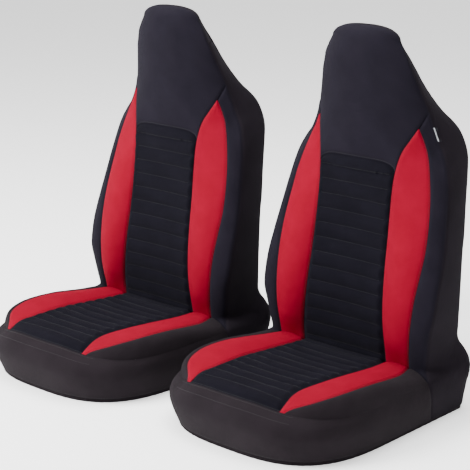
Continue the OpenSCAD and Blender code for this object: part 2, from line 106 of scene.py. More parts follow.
# How deep the panels go into the crease, and the flap that goes on down through it.
CREASE_TUCK = 9
CREASE_DIP = 13
INSERT_START = 7
FLAP = ((0, 24, -12), (0, 12, -10), (0, 4, -6))
FLAP_NARROW = (0.985, 1, 1)
# Fabric, sewn channels of the inserts, and how the cloth dips at a seam.
FABRIC_T = 2.4
INSERT_T = 5
BACK_PITCH = 39.2
BACK_FIRST = INSERT_TOP - 30
SEAT_PITCH = 38.5
SEAT_FIRST = -26
QUILT_RISE = 6.2
QUILT_EDGE = (2, 17)
TUBE_POWER = 0.45
FLATTENED = (-9.6, -8.0)
SEAM_RISE = 2.2
SEAM_WIDTH = 5.0
SOFT_SEAM = 24.0
TIP_X = 159.5
WING_END = 0.5 - 0.115
INSERT_ARCH = 5
FACE_BLEND = (600, 680)
BOLSTER_LIFT = (3, 16)
LOW_BULGE = (100, 200)
# Straps, loops and label.
STRAP_W = 25
STRAP_T = 1.6
STRAP_Z = 7
STRAP_YS = (-175, 120)
STRAP_END = 241
LOOP_IN = 247
SLOT_BAR = 4
SLOT_L = 9
LABEL_LOW = 711
LABEL_LEN = 34
LABEL_W = 9
LABEL_TURN = 58
LOOP_L = 23.7

# Seam lines of the back, each row [height, half-width, y].
INNER_SEAM = [[130, 137, 2], [180, 136, -4], [250, 130, -8], [320, 125, -3], [390, 121, 7],
              [470, 119, 19], [580, 118, 32], [630, 122, 38], [680, 132, 49], [715, 147, 66],
              [742, 159, 82]]
OUTER_SEAM = [[130, 214, -3], [185, 217, -12], [245, 222, -17], [315, 227, -11], [380, 232, 4],
              [440, 234, 22], [490, 231, 36], [540, 225, 49], [590, 217, 60], [645, 203, 73],
              [685, 189, 82], [715, 174, 85], [742, 161, 83]]
SIDE_SEAM = [[116, 285, -18], [124, 276, -9], [132, 264, 3], [142, 257, 9], [180, 262, 4],
             [230, 270, -3], [270, 279, -4], [345, 281, 12],
             [420, 277, 38], [490, 268, 60], [586, 253, 85], [640, 240, 97], [675, 224, 106],
             [705, 204, 111], [745, 187, 109], [788, 174, 101], [834, 159, 87], [872, 147, 76],
             [920, 128, 67], [962, 105, 65], [994, 105, 60]]
REAR_SEAM = [[12, 268.6, 161.6], [48, 275, 162.5], [76, 279, 165], [100, 281, 169],
             [125, 280, 172], [145, 277, 171], [165, 270, 163], [185, 262, 151],
             [203, 260, 145], [225, 262, 143], [250, 263, 142], [310, 266, 140],
             [430, 260, 153], [470, 256, 163],
             [550, 248, 177], [630, 238, 195], [670, 229, 205], [705, 215, 207],
             [735, 198, 202], [775, 170, 173], [825, 140, 147], [890, 111, 120],
             [958, 80, 95], [990, 80, 97]]
BACK_MIDDLE = [[130, 6], [180, 2], [250, -1], [320, 3], [390, 13], [470, 25], [580, 34],
               [680, 35], [740, 36], [788, 38], [834, 36], [872, 32], [920, 27], [955, 29],
               [980, 40], [994, 60]]
# Seam lines of the seat, each row [y, half-width, height].
SEAT_INNER = [[-440, 149, 129], [-402, 144, 147], [-371, 137, 152], [-335, 134, 154],
              [-255, 138, 152], [-190, 138, 147], [-64, 139, 137], [0, 136, 134]]
SEAT_OUTER = [[-438, 157, 129], [-420, 172, 140], [-384, 207, 152], [-341, 228, 158],
              [-287, 240, 161], [-209, 244, 158], [-140, 241, 150], [-68, 233, 141],
              [-5, 215, 138]]
SEAT_MIDDLE = [[-452, 138], [-425, 149], [-390, 152], [-335, 150], [-255, 147], [-190, 143],
               [-64, 133], [0, 131]]
# Skirt outline, each row [share of its height, half-width, front y, rear y].
SKIRT = [[0, 278, -468, 171], [0.35, 288, -484, 174], [0.62, 293, -490, 176],
         [0.85, 291, -478, 176], [1, 285, -452, 176]]
# The curved seam from the crease down to the hem, each row [share of the skirt's height, y].
QUARTER_SEAM = [[0, 10], [0.23, -1], [0.46, -10], [0.64, -15], [0.85, -18], [1, -18]]

# The cloth simulation: grid and limits in millimetres, the rest in Blender's units.
SIM_STEP = 8.5
SIM_FRAMES = 22
SIM_PRESSURE = 1.5
SIM_CAP = 9.0
SIM_FLOOR = -1.5
SIM_ASIDE = 3
MAX_SLACK = 0.03

COVERS = ("driver", "passenger")
# A point deep inside each body, and the rows of points that come close together at a seam.
INSIDE = {"back": (0, 85, 480), "seat": (0, -190, 70)}
SEAM_ROWS = (0, 0.9, 2.2, 4.2, 7.0)
RANDOM = np.random.default_rng(11)


# ---------------- curves
def smooth(a, b, x):
    t = np.clip((np.asarray(x, float) - a) / (b - a), 0, 1)
    return t * t * (3 - 2 * t)


def along(stations, at, k):
    """Value k of a station list at each place, on a smooth curve through its rows."""
    s = np.array(stations, float)
    h = np.clip(np.asarray(at, float), s[0, 0], s[-1, 0])
    i = np.clip(np.searchsorted(s[:, 0], h, side="right") - 1, 0, len(s) - 2)
    last = len(s) - 1
    lo, hi = np.maximum(np.arange(last + 1) - 1, 0), np.minimum(np.arange(last + 1) + 1, last)
    slope = (s[hi, k] - s[lo, k]) / (s[hi, 0] - s[lo, 0])
    d = s[i + 1, 0] - s[i, 0]
    t = (h - s[i, 0]) / d
    return ((2 * t**3 - 3 * t**2 + 1) * s[i, k] + (t**3 - 2 * t**2 + t) * d * slope[i]
            + (3 * t**2 - 2 * t**3) * s[i + 1, k] + (t**3 - t**2) * d * slope[i + 1])


def seam_at(stations, h):
    """Half-width and y of a seam of the back at a height."""
    return along(stations, h, 1), along(stations, h, 2)


def mix(a, b, t):
    return a + (b - a) * t


def mix_points(a, b, t):
    return a + (b - a) * np.asarray(t)[..., None]


def points(x, y, z):
    x, y, z = np.broadcast_arrays(x, y, z)
    return np.stack([x, y, z], -1).astype(float)


def hump(u):
    """1 halfway across a panel, 0 at both seams."""
    return 4 * u * (1 - u)


def unit(v):
    return v / np.maximum(np.linalg.norm(v, axis=-1, keepdims=True), 1e-9)


def distances(grid, axis=0):
    """How far each point is along its line, or along one way of a grid."""
    steps = np.linalg.norm(np.diff(grid, axis=axis), axis=-1)
    return np.insert(np.cumsum(steps, axis), 0, 0, axis)


def arch(c, power):
    return np.sqrt(np.maximum(1 - np.minimum(np.abs(c), 1) ** power, 0))


def side_w(h):
    top = np.clip((np.asarray(h, float) - HEAD_SIDES_TOP) / HEAD_RISE, 0, 1)
    shrink = np.maximum(1 - top**2, 0) ** (1 / FRONT_CROWN)
    return along(SIDE_SEAM, np.minimum(h, HEAD_SIDES_TOP), 1) * shrink


def side_y(h):
    return along(SIDE_SEAM, h, 2)


# ---------------- the back's panels
def head_y(x, h):
    share = np.minimum(np.abs(x) / np.maximum(side_w(h), 1), 1) ** FRONT_CROWN
    return mix(along(BACK_MIDDLE, h, 1), side_y(h), share)


def insert_y(x, h):
    share = (np.abs(x) / along(INNER_SEAM, h, 1)) ** 2
    return mix(along(BACK_MIDDLE, h, 1), along(INNER_SEAM, h, 2), share)


def face_y(x, h):
    return mix(insert_y(x, h), head_y(x, h), smooth(*FACE_BLEND, h))


def tuck(h):
    return CREASE_TUCK * (1 - smooth(BACK_LOW - 6, CREASE_H + 6, h))


def head_side_w(h):
    step = np.clip((h - BOLSTER_TIP) / (SHOULDER_SEAM - BOLSTER_TIP), 0, 1)
    seam = mix(along(INNER_SEAM, BOLSTER_TIP, 1), side_w(SHOULDER_SEAM), step)
    return np.where(h < BOLSTER_TIP, along(INNER_SEAM, h, 1),
                    np.where(h < SHOULDER_SEAM, seam, along(SIDE_SEAM, h, 1)))


def head_point(u, v):
    s = 2 * u - 1
    h0 = mix(INSERT_CORNER, HEAD_SIDES_TOP, v)
    h = (h0 + (INSERT_TOP - INSERT_CORNER) * arch(s, INSERT_ARCH) * (1 - smooth(0, 0.5, v))
         + HEAD_RISE * arch(s, FRONT_CROWN) * smooth(0.55, 1, v))
    x = s * head_side_w(h0)
    step = np.clip((h0 - BOLSTER_TIP) / (SHOULDER_SEAM - BOLSTER_TIP), 0, 1)
    seam_y = mix(along(INNER_SEAM, h0, 2), side_y(SHOULDER_SEAM), step)
    short = np.where(h0 < SHOULDER_SEAM, seam_y - face_y(head_side_w(h0), h0), 0)
    return points(x, face_y(x, h) + short * np.abs(s) ** 3, h)


def back_insert_point(u, v):
    s = 2 * u - 1
    top = INSERT_CORNER + (INSERT_TOP - INSERT_CORNER) * arch(s, INSERT_ARCH)
    h = mix(BACK_LOW, top, v)
    x = s * along(INNER_SEAM, mix(BACK_LOW, INSERT_CORNER, v), 1)
    return points(x, face_y(x, h) + tuck(h), h)


def bolster_lift(h):
    """How far a back bolster stands out: most at the waist."""
    least, more = BOLSTER_LIFT
    return least + more * smooth(130, 210, h) * (1 - smooth(400, 620, h))


def bolster_point(u, v):
    h = mix(BACK_LOW, BOLSTER_TIP, v)
    (xa, ya), (xb, yb) = seam_at(INNER_SEAM, h), seam_at(OUTER_SEAM, h)
    x, y = mix(xa, xb, u), mix(ya, yb, u)
    return points(x, y + tuck(h) - bolster_lift(h) * hump(u), h)


def wing_point(u, v):
    ho, hs = mix(BACK_LOW, BOLSTER_TIP, v), mix(SKIRT_SIDE_H + 2, SHOULDER_SEAM, v)
    x, y = seam_at(OUTER_SEAM, ho)
    a = points(x, y + tuck(ho), ho)
    b = points(side_w(hs), side_y(hs), hs)
    roll = hump(u) * (1 - 0.95 * smooth(0.6, 0.95, v))
    return mix_points(a, b, u) + points(2 * roll, -6 * roll, 0)


def quarter_y(low):
    return along(QUARTER_SEAM, low, 1)


def skirt_share(h):
    return np.clip((h - HEM_H) / (SKIRT_SIDE_H - HEM_H), 0, 1)


def side_panel_point(u, v):
    """The boxing, from the hem behind the crease up to the strip over the head."""
    h = mix(HEM_H, GUSSET_LOW, v)
    low = skirt_share(h)
    in_skirt = h < SKIRT_SIDE_H
    front_x = np.where(in_skirt, along(SKIRT, low, 1), side_w(h))
    front_edge = np.where(in_skirt, quarter_y(low), side_y(h))
    rear_x, rear_edge = seam_at(REAR_SEAM, h)
    x, y = mix(front_x, rear_x, u), mix(front_edge, rear_edge, u)
    w, flat_y = along(SKIRT, low, 1), along(SKIRT, low, 3) - REAR_CORNER_R

    def corner_x(at):
        over = np.clip(at - flat_y, 0, REAR_CORNER_R)
        return w - REAR_CORNER_R + np.sqrt(REAR_CORNER_R**2 - over**2)
    low_bulge = corner_x(y) - mix(w, rear_x, u) - u * (corner_x(rear_edge) - rear_x)
    roll = mix(low_bulge, 4 * hump(u), smooth(*LOW_BULGE, h))
    return points(x + roll, y, h)


def gusset_point(u, v):
    q, sign = np.minimum(v, 1 - v), np.where(v < 0.5, 1, -1)
    t = np.minimum(q / GUSSET_RISE, 1)
    f = np.radians(90) * np.maximum(q - GUSSET_RISE, 0) / (0.5 - GUSSET_RISE)
    c, s = np.maximum(np.cos(f), 0) ** (2 / FRONT_CROWN), np.sin(f)
    h = mix(GUSSET_LOW, HEAD_SIDES_TOP, t) + HEAD_RISE * s
    a = points(sign * along(SIDE_SEAM, np.minimum(h, HEAD_SIDES_TOP), 1) * c, side_y(h), h)
    h = mix(GUSSET_LOW, REAR_SIDES_TOP, t)
    x, y = seam_at(REAR_SEAM, h)
    b = points(sign * x * c, y + rear_crown(h) * (1 - c * c), h + REAR_RISE * s)
    roll = hump(u)
    return mix_points(a, b, u) + points(2 * sign * roll * (1 - s), 0, 2 * roll * s)


def rear_crown(h):
    return mix(4, 12, smooth(220, 500, h)) * (1 - smooth(850, 958, h) * 0.9)


def rear_point(u, v):
    s = 2 * u - 1
    h0 = mix(HEM_H, REAR_SIDES_TOP, v)
    h = h0 + REAR_RISE * arch(s, FRONT_CROWN) * smooth(0.6, 1, v)
    seam_x, seam_y = seam_at(REAR_SEAM, h0)
    flat_x = along(SKIRT, skirt_share(h0), 1) - REAR_CORNER_R

    def corner_y(at):
        over = np.clip(at - flat_x, 0, REAR_CORNER_R)
        return np.sqrt(REAR_CORNER_R**2 - over**2)
    low_bulge = corner_y(np.abs(s * seam_x)) - corner_y(seam_x)
    bulge = mix(low_bulge, rear_crown(h0) * (1 - s * s), smooth(*LOW_BULGE, h0))
    return points(s * seam_x, seam_y + bulge, h)


# ---------------- the seat's panels
def outline(q, sign, low):
    """The skirt's outline at a share of its height; q is 0 at the crease, 0.5 at the front."""
    w, reach = along(SKIRT, low, 1), CORNER_MID_Y - along(SKIRT, low, 2)
    f = np.radians(90) * np.clip((q - STRAIGHT) / (0.5 - STRAIGHT), 0, 1)
    x = np.where(q < STRAIGHT, w, w * np.maximum(np.cos(f), 0) ** (2 / CORNER_POWER))
    y = np.where(q < STRAIGHT, mix(OUTLINE_START, CORNER_MID_Y, q / STRAIGHT),
                 CORNER_MID_Y - reach * np.sin(f) ** (2 / CORNER_POWER))
    return sign * x, y


def outline_share(y):
    return STRAIGHT * (OUTLINE_START - y) / (OUTLINE_START - CORNER_MID_Y)


def skirt_top(x):
    return SKIRT_SIDE_H + SKIRT_FRONT_RISE * (1 - smooth(60, 270, np.abs(x)))


def front_y(x):
    w, reach = along(SKIRT, 1, 1), CORNER_MID_Y - along(SKIRT, 1, 2)
    return CORNER_MID_Y - reach * (1 - (np.abs(x) / w) ** CORNER_POWER) ** (1 / CORNER_POWER)


def skirt_point(u, v):
    q, sign = np.minimum(u, 1 - u), np.where(u < 0.5, 1, -1)
    q = mix(outline_share(quarter_y(v)), 0.5, 2 * q)
    x, y = outline(q, sign, v)
    top_x, _ = outline(q, sign, np.ones_like(v))
    return points(x, y, mix(HEM_H, skirt_top(top_x), v))


def seat_dip(y):
    return CREASE_DIP * smooth(-9, 8, y)


def seat_insert_point(u, v):
    s = 2 * u - 1
    y = mix(INSERT_START, front_y(s * along(SEAT_INNER, -437, 1)), v)
    x = s * along(SEAT_INNER, y, 1)
    z = mix(along(SEAT_MIDDLE, y, 1), along(SEAT_INNER, y, 2), s * s)
    return points(x, y, mix(z, skirt_top(x), smooth(0.95, 1, v)) - seat_dip(y))


def landed(point, u, v):
    """A panel's surface with its front end eased down onto the skirt's top edge."""
    end = point(u, np.ones_like(v))
    drop = (skirt_top(end[..., 0]) - end[..., 2]) * smooth(0.8, 1, v)
    return point(u, v) + points(0, 0, drop)


def seat_line(seam, y):
    return points(along(seam, y, 1), y, along(seam, y, 2) - seat_dip(y))


def seat_bolster_at(u, v):
    a = seat_line(SEAT_INNER, mix(INSERT_START, front_y(SEAT_INNER[0][1]), v))
    b = seat_line(SEAT_OUTER, mix(OUTLINE_START, front_y(TIP_X), v))
    roll = hump(u) * (1 - smooth(0.5, 1, v))
    return mix_points(a, b, u) + points(0, 0, 7 * roll)


def seat_bolster_point(u, v):
    return landed(seat_bolster_at, u, v)


def seat_wing_at(u, v):
    """Rolls over from the bolster to the skirt; its front edge runs along the skirt's corner."""
    a, full = seat_line(SEAT_OUTER, mix(OUTLINE_START, front_y(TIP_X), v)), np.ones_like(v)
    first, last = outline_share(quarter_y(1)), WING_END
    x, y = outline(mix(first, last, v), 1, full)
    b = points(x, y, skirt_top(x))
    angle = np.degrees(np.arccos((TIP_X / along(SKIRT, 1, 1)) ** (CORNER_POWER / 2)))
    tip = STRAIGHT + (0.5 - STRAIGHT) * angle / 90
    rim_x, rim_y = outline(mix(tip, last, u), 1, full)
    end_x, end_y = outline(last * full, 1, full)
    front = smooth(0.8, 1, v)
    bend = points(rim_x - mix(TIP_X, end_x, u), rim_y - mix(front_y(TIP_X), end_y, u), 0)
    rounding = 0.7 * (1 - front)
    out = mix(u, np.sin(np.pi / 2 * u), rounding)
    down = mix(u, 1 - np.cos(np.pi / 2 * u), rounding)
    p = np.concatenate([mix_points(a, b, out)[..., :2], mix_points(a, b, down)[..., 2:]], -1)
    roll = hump(u) * (1 - front)
    return p + bend * front[..., None] + points(0, 0, 3 * roll)


def seat_wing_point(u, v):
    return landed(seat_wing_at, u, v)


# ---------------- grids of fabric
def shares(length, step):
    """Shares along a length: close together at both seams, then even steps."""
    near = [d for d in SEAM_ROWS if d < length / 3]
    n = max(int(round((length - 2 * near[-1]) / step)), 2)
    middle = near[-1] + (length - 2 * near[-1]) * np.arange(1, n) / n
    rows = np.concatenate([near, middle, length - np.array(near[::-1])])
    return rows / length


def between(at, stations):
    """The station before each place, and the share of the way on to the next."""
    place = np.interp(at, stations, np.arange(len(stations)))
    before = np.clip(place.astype(int), 0, len(stations) - 2)
    return before, place - before


def surface_normals(p):
    du, dv = np.gradient(p, axis=1), np.gradient(p, axis=0)
    return unit(np.cross(du, dv))


def resampled(grid, rows, cols):
    """A coarse even grid of values read at other shares on smooth curves."""
    def weights(n, at):
        t = np.clip(np.asarray(at) * (n - 1), 0, n - 1 - 1e-9)
        i = np.floor(t).astype(int)
        f = t - i
        w = np.zeros((len(t), n))
        for k, wk in ((-1, -0.5 * f**3 + f**2 - 0.5 * f), (0, 1.5 * f**3 - 2.5 * f**2 + 1),
                      (1, -1.5 * f**3 + 2 * f**2 + 0.5 * f), (2, 0.5 * f**3 - 0.5 * f**2)):
            np.add.at(w, (np.arange(len(t)), np.clip(i + k, 0, n - 1)), wk)
        return w
    return np.einsum("ri,ijk,cj->rck", weights(grid.shape[0], rows), grid,
                     weights(grid.shape[1], cols))


class Panel:
    """One sewn piece of fabric: its master surface and how it is finished."""

    def __init__(self, name, point, body, slot, nodes, side=0, step=5.0, thick=FABRIC_T,
                 seams=(1, 1, 1, 1), quilt=None, puff=2.5, slack=0.003, flap=False):
        self.flap = flap
        self.name, self.point, self.body, self.slot = name, point, body, slot
        self.nodes, self.side, self.thick, self.seams = nodes, side, thick, seams
        self.quilt, self.puff, self.slack, self.relief = quilt, puff, slack, None
        probe_u, probe_v = np.meshgrid(np.linspace(0, 1, 41), np.linspace(0, 1, 61))
        p = self.master(probe_u, probe_v)
        self.width = np.linalg.norm(np.diff(p, axis=1), axis=-1).sum(1).max()
        self.length = np.linalg.norm(np.diff(p, axis=0), axis=-1).sum(0).max()
        self.us, self.vs = shares(self.width, step), shares(self.length, step)

    def master(self, u, v):
        p = self.point(u, v)
        return p * [-1, 1, 1] if self.side < 0 else p

    def outward(self, p):
        n = surface_normals(p)
        if np.sum(n * (p - INSIDE[self.body])) < 0:
            return -n, True
        return n, False

    def finish_surface(self):
        """Puff, seams and quilting on the master surface; keeps the outer and inner faces."""
        u, v = np.meshgrid(self.us, self.vs)
        base = self.master(u, v)
        n, self.flipped = self.outward(base)
        cum_u, cum_v = distances(base, 1), distances(base, 0)
        edges = (cum_u, cum_u[:, -1:] - cum_u, cum_v, cum_v[-1:] - cum_v)
        valley, near = np.zeros_like(u), np.full_like(u, 1e3)
        for seam, d in zip(self.seams, edges):
            if seam:
                depth = seam(base) if callable(seam) else 1.0
                dent = mix(np.exp(-(d / SOFT_SEAM) ** 2), np.exp(-(d / SEAM_WIDTH) ** 2), depth)
                valley = np.maximum(valley, dent)
                near = np.minimum(near, d)
        rise = SEAM_RISE * (1 - valley)
        if self.quilt:
            rise = rise + self.quilting(base, near)
        if self.relief is not None:
            moved = resampled(self.relief, self.vs, self.us)
        else:
            moved = n * (self.puff * np.sin(np.pi * u) ** 0.8 * np.sin(np.pi * v) ** 0.5)[..., None]
        self.outer = base + moved + n * rise[..., None]
        self.n = surface_normals(self.outer) * (-1 if self.flipped else 1)
        self.inner = self.outer - self.n * self.thick
        self.uv = np.stack([cum_u - cum_u[:, -1:] / 2, cum_v], -1) / 1000
        if self.flap:
            self.tuck_in()

    def tuck_in(self):
        """Adds the flap that goes down through the crease behind a seat panel."""
        down = np.array(FLAP, float)[:, None]
        reach = -np.linalg.norm(down, axis=-1) / 1000
        self.outer, self.inner = [np.concatenate([face[:1] * FLAP_NARROW + down, face])
                                  for face in (self.outer, self.inner)]
        self.n = np.concatenate([np.repeat(self.n[:1], len(down), 0), self.n])
        behind = self.uv[:1] + np.stack([0 * reach, reach], -1)
        self.uv = np.concatenate([behind, self.uv])
        self.vs = np.concatenate([reach[:, 0] * 1000 / self.length, self.vs])

    def quilting(self, base, near):
        axis, first, pitch, rise = self.quilt
        s = (base[..., axis] - first) / pitch
        tube = np.abs(np.sin(np.pi * s)) ** TUBE_POWER
        if axis == 2:
            tube, fade = np.where(s > 0, 1 - 0.25 * smooth(0, 1, s), tube), 1
        else:
            tube = np.where(s > 0, 1, tube)
            fade = 1 - 0.55 * (1 - smooth(*FLATTENED, s))
        return rise * (tube * fade + 0.35 * (1 - fade)) * smooth(*QUILT_EDGE, near)

    def cut_area(self):
        """Area of the smooth master panel, in square millimetres."""
        u, v = np.meshgrid(self.us, self.vs)
        p = self.master(u, v)
        a, b = p[1:, 1:] - p[:-1, :-1], p[1:, :-1] - p[:-1, 1:]
        return np.linalg.norm(np.cross(a, b), axis=-1).sum() / 2

    def at(self, u, v):
        """Position and outward direction on the finished surface."""
        (c0, fc), (r0, fr) = between(u, self.us), between(v, self.vs)
        fc, fr = fc[:, None], fr[:, None]
        return [mix(mix(grid[r0, c0], grid[r0, c0 + 1], fc),
                    mix(grid[r0 + 1, c0], grid[r0 + 1, c0 + 1], fc), fr)
                for grid in (self.outer, self.n)]


def make_mesh(name, verts, quads, uv=None, material=None):
    """A mesh object from millimetre points and four-cornered faces."""
    mesh = bpy.data.meshes.new(name)
    mesh.vertices.add(len(verts))
    mesh.vertices.foreach_set("co", (np.asarray(verts, float) / 1000).ravel())
    quads = np.asarray(quads)
    mesh.loops.add(quads.size)
    mesh.loops.foreach_set("vertex_index", quads.ravel().astype(np.int32))
    mesh.polygons.add(len(quads))
    mesh.polygons.foreach_set("loop_start", np.arange(0, quads.size, 4, dtype=np.int32))
    mesh.polygons.foreach_set("use_smooth", np.ones(len(quads), bool))
    mesh.update(calc_edges=True)
    layer = mesh.uv_layers.new(name="Cloth")
    if uv is not None:
        layer.uv.foreach_set("vector", np.asarray(uv, float)[quads.ravel()].ravel())
    if material:
        mesh.materials.append(material)
    obj = bpy.data.objects.new(name, mesh)
    bpy.context.scene.collection.objects.link(obj)
    return obj


def shell(outer, inner, keep=None, flipped=False):
    """Points and faces of a sheet with two sides and a rim round every open edge."""
    rows, cols = outer.shape[:2]
    ids = np.arange(rows * cols).reshape(rows, cols)
    keep = np.ones((rows - 1, cols - 1), bool) if keep is None else keep
    a, b, c, d = ids[:-1, :-1], ids[:-1, 1:], ids[1:, 1:], ids[1:, :-1]
    top = np.stack([a, b, c, d], -1)[keep]
    n = rows * cols
    faces = [top, top[:, ::-1] + n]
    padded = np.zeros((rows + 1, cols + 1), bool)
    padded[1:-1, 1:-1] = keep
    here = padded[1:-1, 1:-1]
    for side, p, q in ((padded[:-2, 1:-1], a, b), (padded[2:, 1:-1], c, d),
                       (padded[1:-1, :-2], d, a), (padded[1:-1, 2:], b, c)):
        rim = here & ~side
        faces.append(np.stack([q[rim], p[rim], p[rim] + n, q[rim] + n], -1))
    faces = np.concatenate(faces)
    verts = np.concatenate([outer.reshape(-1, 3), inner.reshape(-1, 3)])
    if flipped:
        faces = faces[:, ::-1]
    used = np.unique(faces)
    remap = np.full(len(verts), -1)
    remap[used] = np.arange(len(used))
    return verts[used], remap[faces], used


# ---------------- materials
def settings(n, **values):
    """Sets a node's own settings and its input sockets by name, with _ for a space."""
    for key, value in values.items():
        if hasattr(n, key):
            setattr(n, key, value)
        else:
            n.inputs[key.replace("_", " ")].default_value = value


def node(tree, kind, feed=None, into=0, **values):
    """A new node with its settings; feed is the socket that goes into one of its inputs."""
    n = tree.nodes.new(kind)
    settings(n, **values)
    if feed is not None:
        tree.links.new(feed, n.inputs[into])
    return n


def calc(tree, op, *terms):
    n = node(tree, "ShaderNodeMath", operation=op)
    for term, socket in zip(terms, n.inputs):
        if isinstance(term, (int, float)):
            socket.default_value = term
        else:
            tree.links.new(term, socket)
    return n.outputs[0]


def material(name):
    """A new material, its tree, its surface and its cloth coordinates in metres."""
    mat = bpy.data.materials.new(name)
    mat.use_nodes = True
    tree = mat.node_tree
    uv = node(tree, "ShaderNodeUVMap", uv_map="Cloth").outputs["UV"]
    return mat, tree, tree.nodes["Principled BSDF"], uv


def noise(tree, place, scale, detail, rough):
    return node(tree, "ShaderNodeTexNoise", place, Scale=scale, Detail=detail,
                Roughness=rough).outputs[0]


def ramp(tree, share, low, high, ends=(0, 1)):
    """A colour between low and high, which are reached at the two ends."""
    n = node(tree, "ShaderNodeValToRGB", share)
    for element, colour, end in zip(n.color_ramp.elements, (low, high), ends):
        element.position = end
        element.color = (*colour, 1)
    return n.outputs[0]


def finish(tree, surface, colour, height, strength, distance):
    """Links the colour and a bump to the surface."""
    tree.links.new(colour, surface.inputs["Base Color"])
    bumped = node(tree, "ShaderNodeBump", height, "Height", Strength=strength,
                  Distance=distance)
    tree.links.new(bumped.outputs[0], surface.inputs["Normal"])


def knit_height(tree, uv, wale, course):
    """Height of a knitted face: columns of slanted loops, sizes in metres."""
    split = node(tree, "ShaderNodeSeparateXYZ", uv)
    x = calc(tree, "DIVIDE", split.outputs[0], wale)
    y = calc(tree, "DIVIDE", split.outputs[1], course)
    column = calc(tree, "ABSOLUTE", calc(tree, "SUBTRACT", calc(tree, "FRACT", x), 0.5))
    lean = calc(tree, "ADD", y, column)
    loops = calc(tree, "SINE", calc(tree, "MULTIPLY", lean, 2 * math.pi))
    groove = calc(tree, "COSINE", calc(tree, "MULTIPLY", column, 2 * math.pi))
    return calc(tree, "ADD", calc(tree, "MULTIPLY", loops, 0.5),
                calc(tree, "MULTIPLY", groove, -0.5))


def fabric(name, colour, pale_and_crest_lit, rough, wale, course, bump, sheen, sheen_tint, nap=0.35):
    """A knitted fabric; colour is its deep tone and the next colour its lighter one, which shows at
    random in the mottling and, as a painted highlight, on the knit's raised loops.
    """
    mat, tree, surface, uv = material(name)
    height = knit_height(tree, uv, wale, course)
    fuzz = noise(tree, uv, 1 / (wale * 1.7), 3.0, 0.7)
    cloud = noise(tree, uv, 14.0, 4.0, 0.6)
    speck = noise(tree, uv, 420.0, 2.0, 0.6)
    share = calc(tree, "ADD", calc(tree, "MULTIPLY", cloud, 0.65),
                 calc(tree, "MULTIPLY", speck, nap))
    # Painted highlight and shade: the colour is a little lighter on the knit's raised loops and
    # darker in the grooves between them.
    share = calc(tree, "ADD", share, calc(tree, "MULTIPLY", height, 0.10))
    relief = calc(tree, "ADD", height, calc(tree, "MULTIPLY", fuzz, 0.9))
    finish(tree, surface, ramp(tree, share, colour, pale_and_crest_lit, (0.30, 0.74)), relief, bump, 0.0006)
    settings(surface, Roughness=rough, Specular_IOR_Level=0.05, Sheen_Weight=sheen,
             Sheen_Roughness=0.45, Sheen_Tint=(*sheen_tint, 1))
    return mat


def label_satin(name):
    """Blank woven tag: dark satin with a pale woven edge along its seam."""
    mat = fabric(name, (0.010, 0.010, 0.013), (0.022, 0.022, 0.027), 0.6, 0.0007, 0.0007,
                 0.3, 0.05, (1, 1, 1))
    tree = mat.node_tree
    colour = tree.nodes["Principled BSDF"].inputs["Base Color"]
    dark = colour.links[0].from_socket
    uv = node(tree, "ShaderNodeUVMap", uv_map="Cloth").outputs["UV"]
    across = node(tree, "ShaderNodeSeparateXYZ", uv).outputs[0]
    edge = node(tree, "ShaderNodeMapRange", across, From_Min=0.0019, From_Max=0.0023,
                To_Min=1.0, To_Max=0.0)
    weave = node(tree, "ShaderNodeTexWave", uv, Scale=320.0, bands_direction="Y")
    pale = ramp(tree, weave.outputs["Fac"], (0.20, 0.21, 0.23), (0.50, 0.51, 0.54))
    both = node(tree, "ShaderNodeMix", edge.outputs[0], "Factor", data_type="RGBA")
    tree.links.new(dark, both.inputs[6])
    tree.links.new(pale, both.inputs[7])
    tree.links.new(both.outputs[2], colour)
    return mat


def thread(name, colour):
    """Twisted sewing thread: fine slanted plies."""
    mat, tree, surface, uv = material(name)
    ply = node(tree, "ShaderNodeTexWave", uv, Scale=260.0, Distortion=0.6,
               bands_direction="DIAGONAL").outputs["Fac"]
    # Painted shade: the colour is darker in the grooves between the plies, where the bump is low.
    tone = ramp(tree, ply, [c * 0.7 for c in colour], colour)
    finish(tree, surface, tone, ply, 0.4, 0.0002)
    settings(surface, Roughness=0.6)
    return mat


def webbing(name, colour, pale_and_crest_lit):
    """Ribbed elastic webbing: lengthwise ribs crossed by fine picks."""
    rib, pick = 0.0021, 0.0011
    mat, tree, surface, uv = material(name)
    split = node(tree, "ShaderNodeSeparateXYZ", uv)
    ribs, picks = [
        calc(tree, "SINE", calc(tree, "MULTIPLY", split.outputs[k], 2 * math.pi / size))
        for k, size in enumerate((rib, pick))]
    height = calc(tree, "ADD", ribs, calc(tree, "MULTIPLY", picks, 0.4))
    # Painted shade and highlight: the colour follows the ribs' height, darker in the grooves and
    # lighter on the crests.
    share = calc(tree, "MULTIPLY", calc(tree, "ADD", height, 1.4), 0.36)
    finish(tree, surface, ramp(tree, share, colour, pale_and_crest_lit, (0.2, 0.9)), height, 0.6, 0.0005)
    settings(surface, Roughness=0.75)
    return mat


def steel(name):
    """Zinc-plated steel wire of a slightly uneven tone and gloss."""
    mat, tree, surface, _ = material(name)
    place = node(tree, "ShaderNodeTexCoord").outputs["Object"]
    blot = noise(tree, place, 180.0, 4.0, 0.5)
    tone = ramp(tree, blot, (0.42, 0.43, 0.45), (0.68, 0.69, 0.71))
    finish(tree, surface, tone, blot, 0.15, 0.0002)
    gloss = node(tree, "ShaderNodeMapRange", blot, To_Min=0.22, To_Max=0.42)
    tree.links.new(gloss.outputs[0], surface.inputs["Roughness"])
    settings(surface, Metallic=1.0)
    return mat


